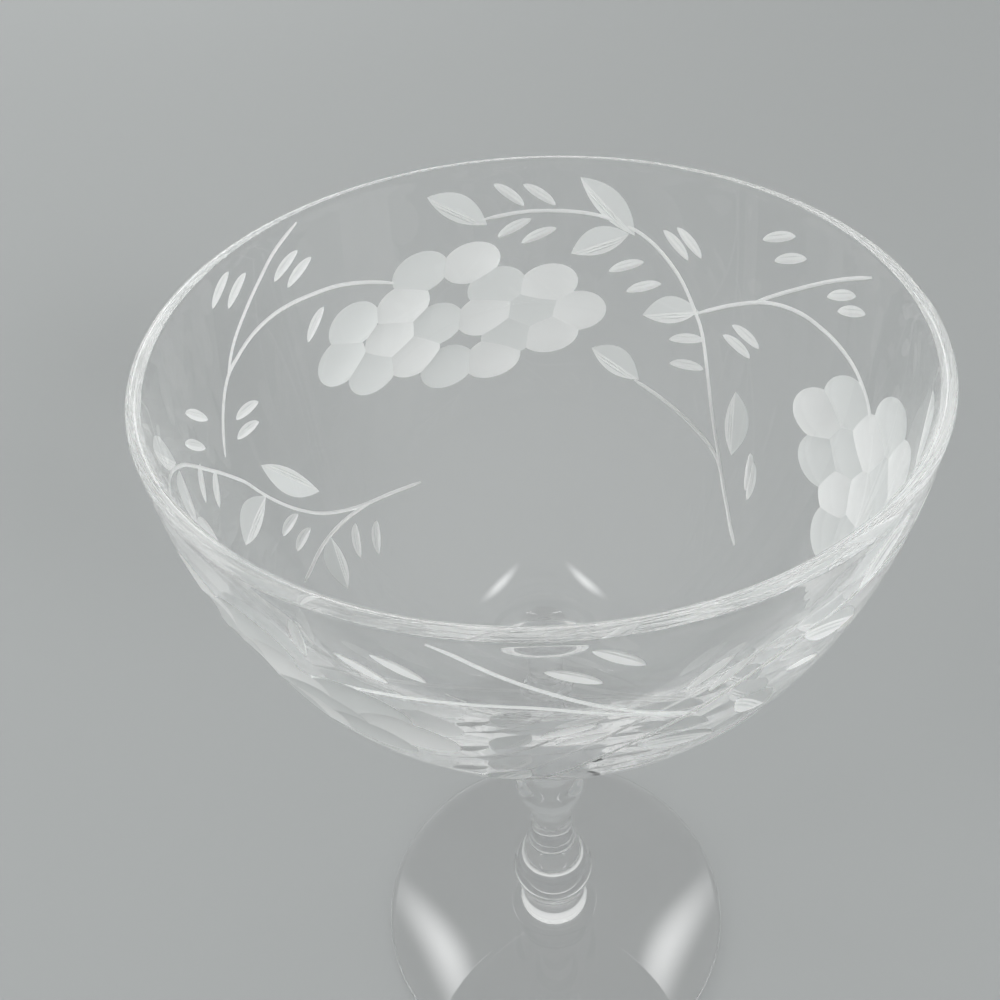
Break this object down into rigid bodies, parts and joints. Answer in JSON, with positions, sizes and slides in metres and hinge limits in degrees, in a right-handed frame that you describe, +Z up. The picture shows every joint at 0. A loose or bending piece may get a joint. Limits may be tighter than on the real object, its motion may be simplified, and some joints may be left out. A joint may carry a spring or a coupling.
{
  "type": "coupe glass",
  "caption": "Stemmed coupe glass: wide blown bowl with a wheel-cut grapevine ornament, slim stem with a knop and a ball, round flat foot.",
  "frame": {"origin": "middle of the foot's flat underside, on the table", "axes": "+Z up along the glass's axis, from the foot to the rim; +X to the right and -Y towards the viewer"},
  "size_m": [0.095, 0.095, 0.1333],
  "materials": {
    "clear_glass": "fire-polished clear, with matte wheel-cut ornament on the bowl"
  },
  "bodies": {
    "root": {"bowl": "clear_glass", "shank": "clear_glass", "upper_knop": "clear_glass", "ball_knop": "clear_glass", "foot": "clear_glass"}
  },
  "joints": []
}
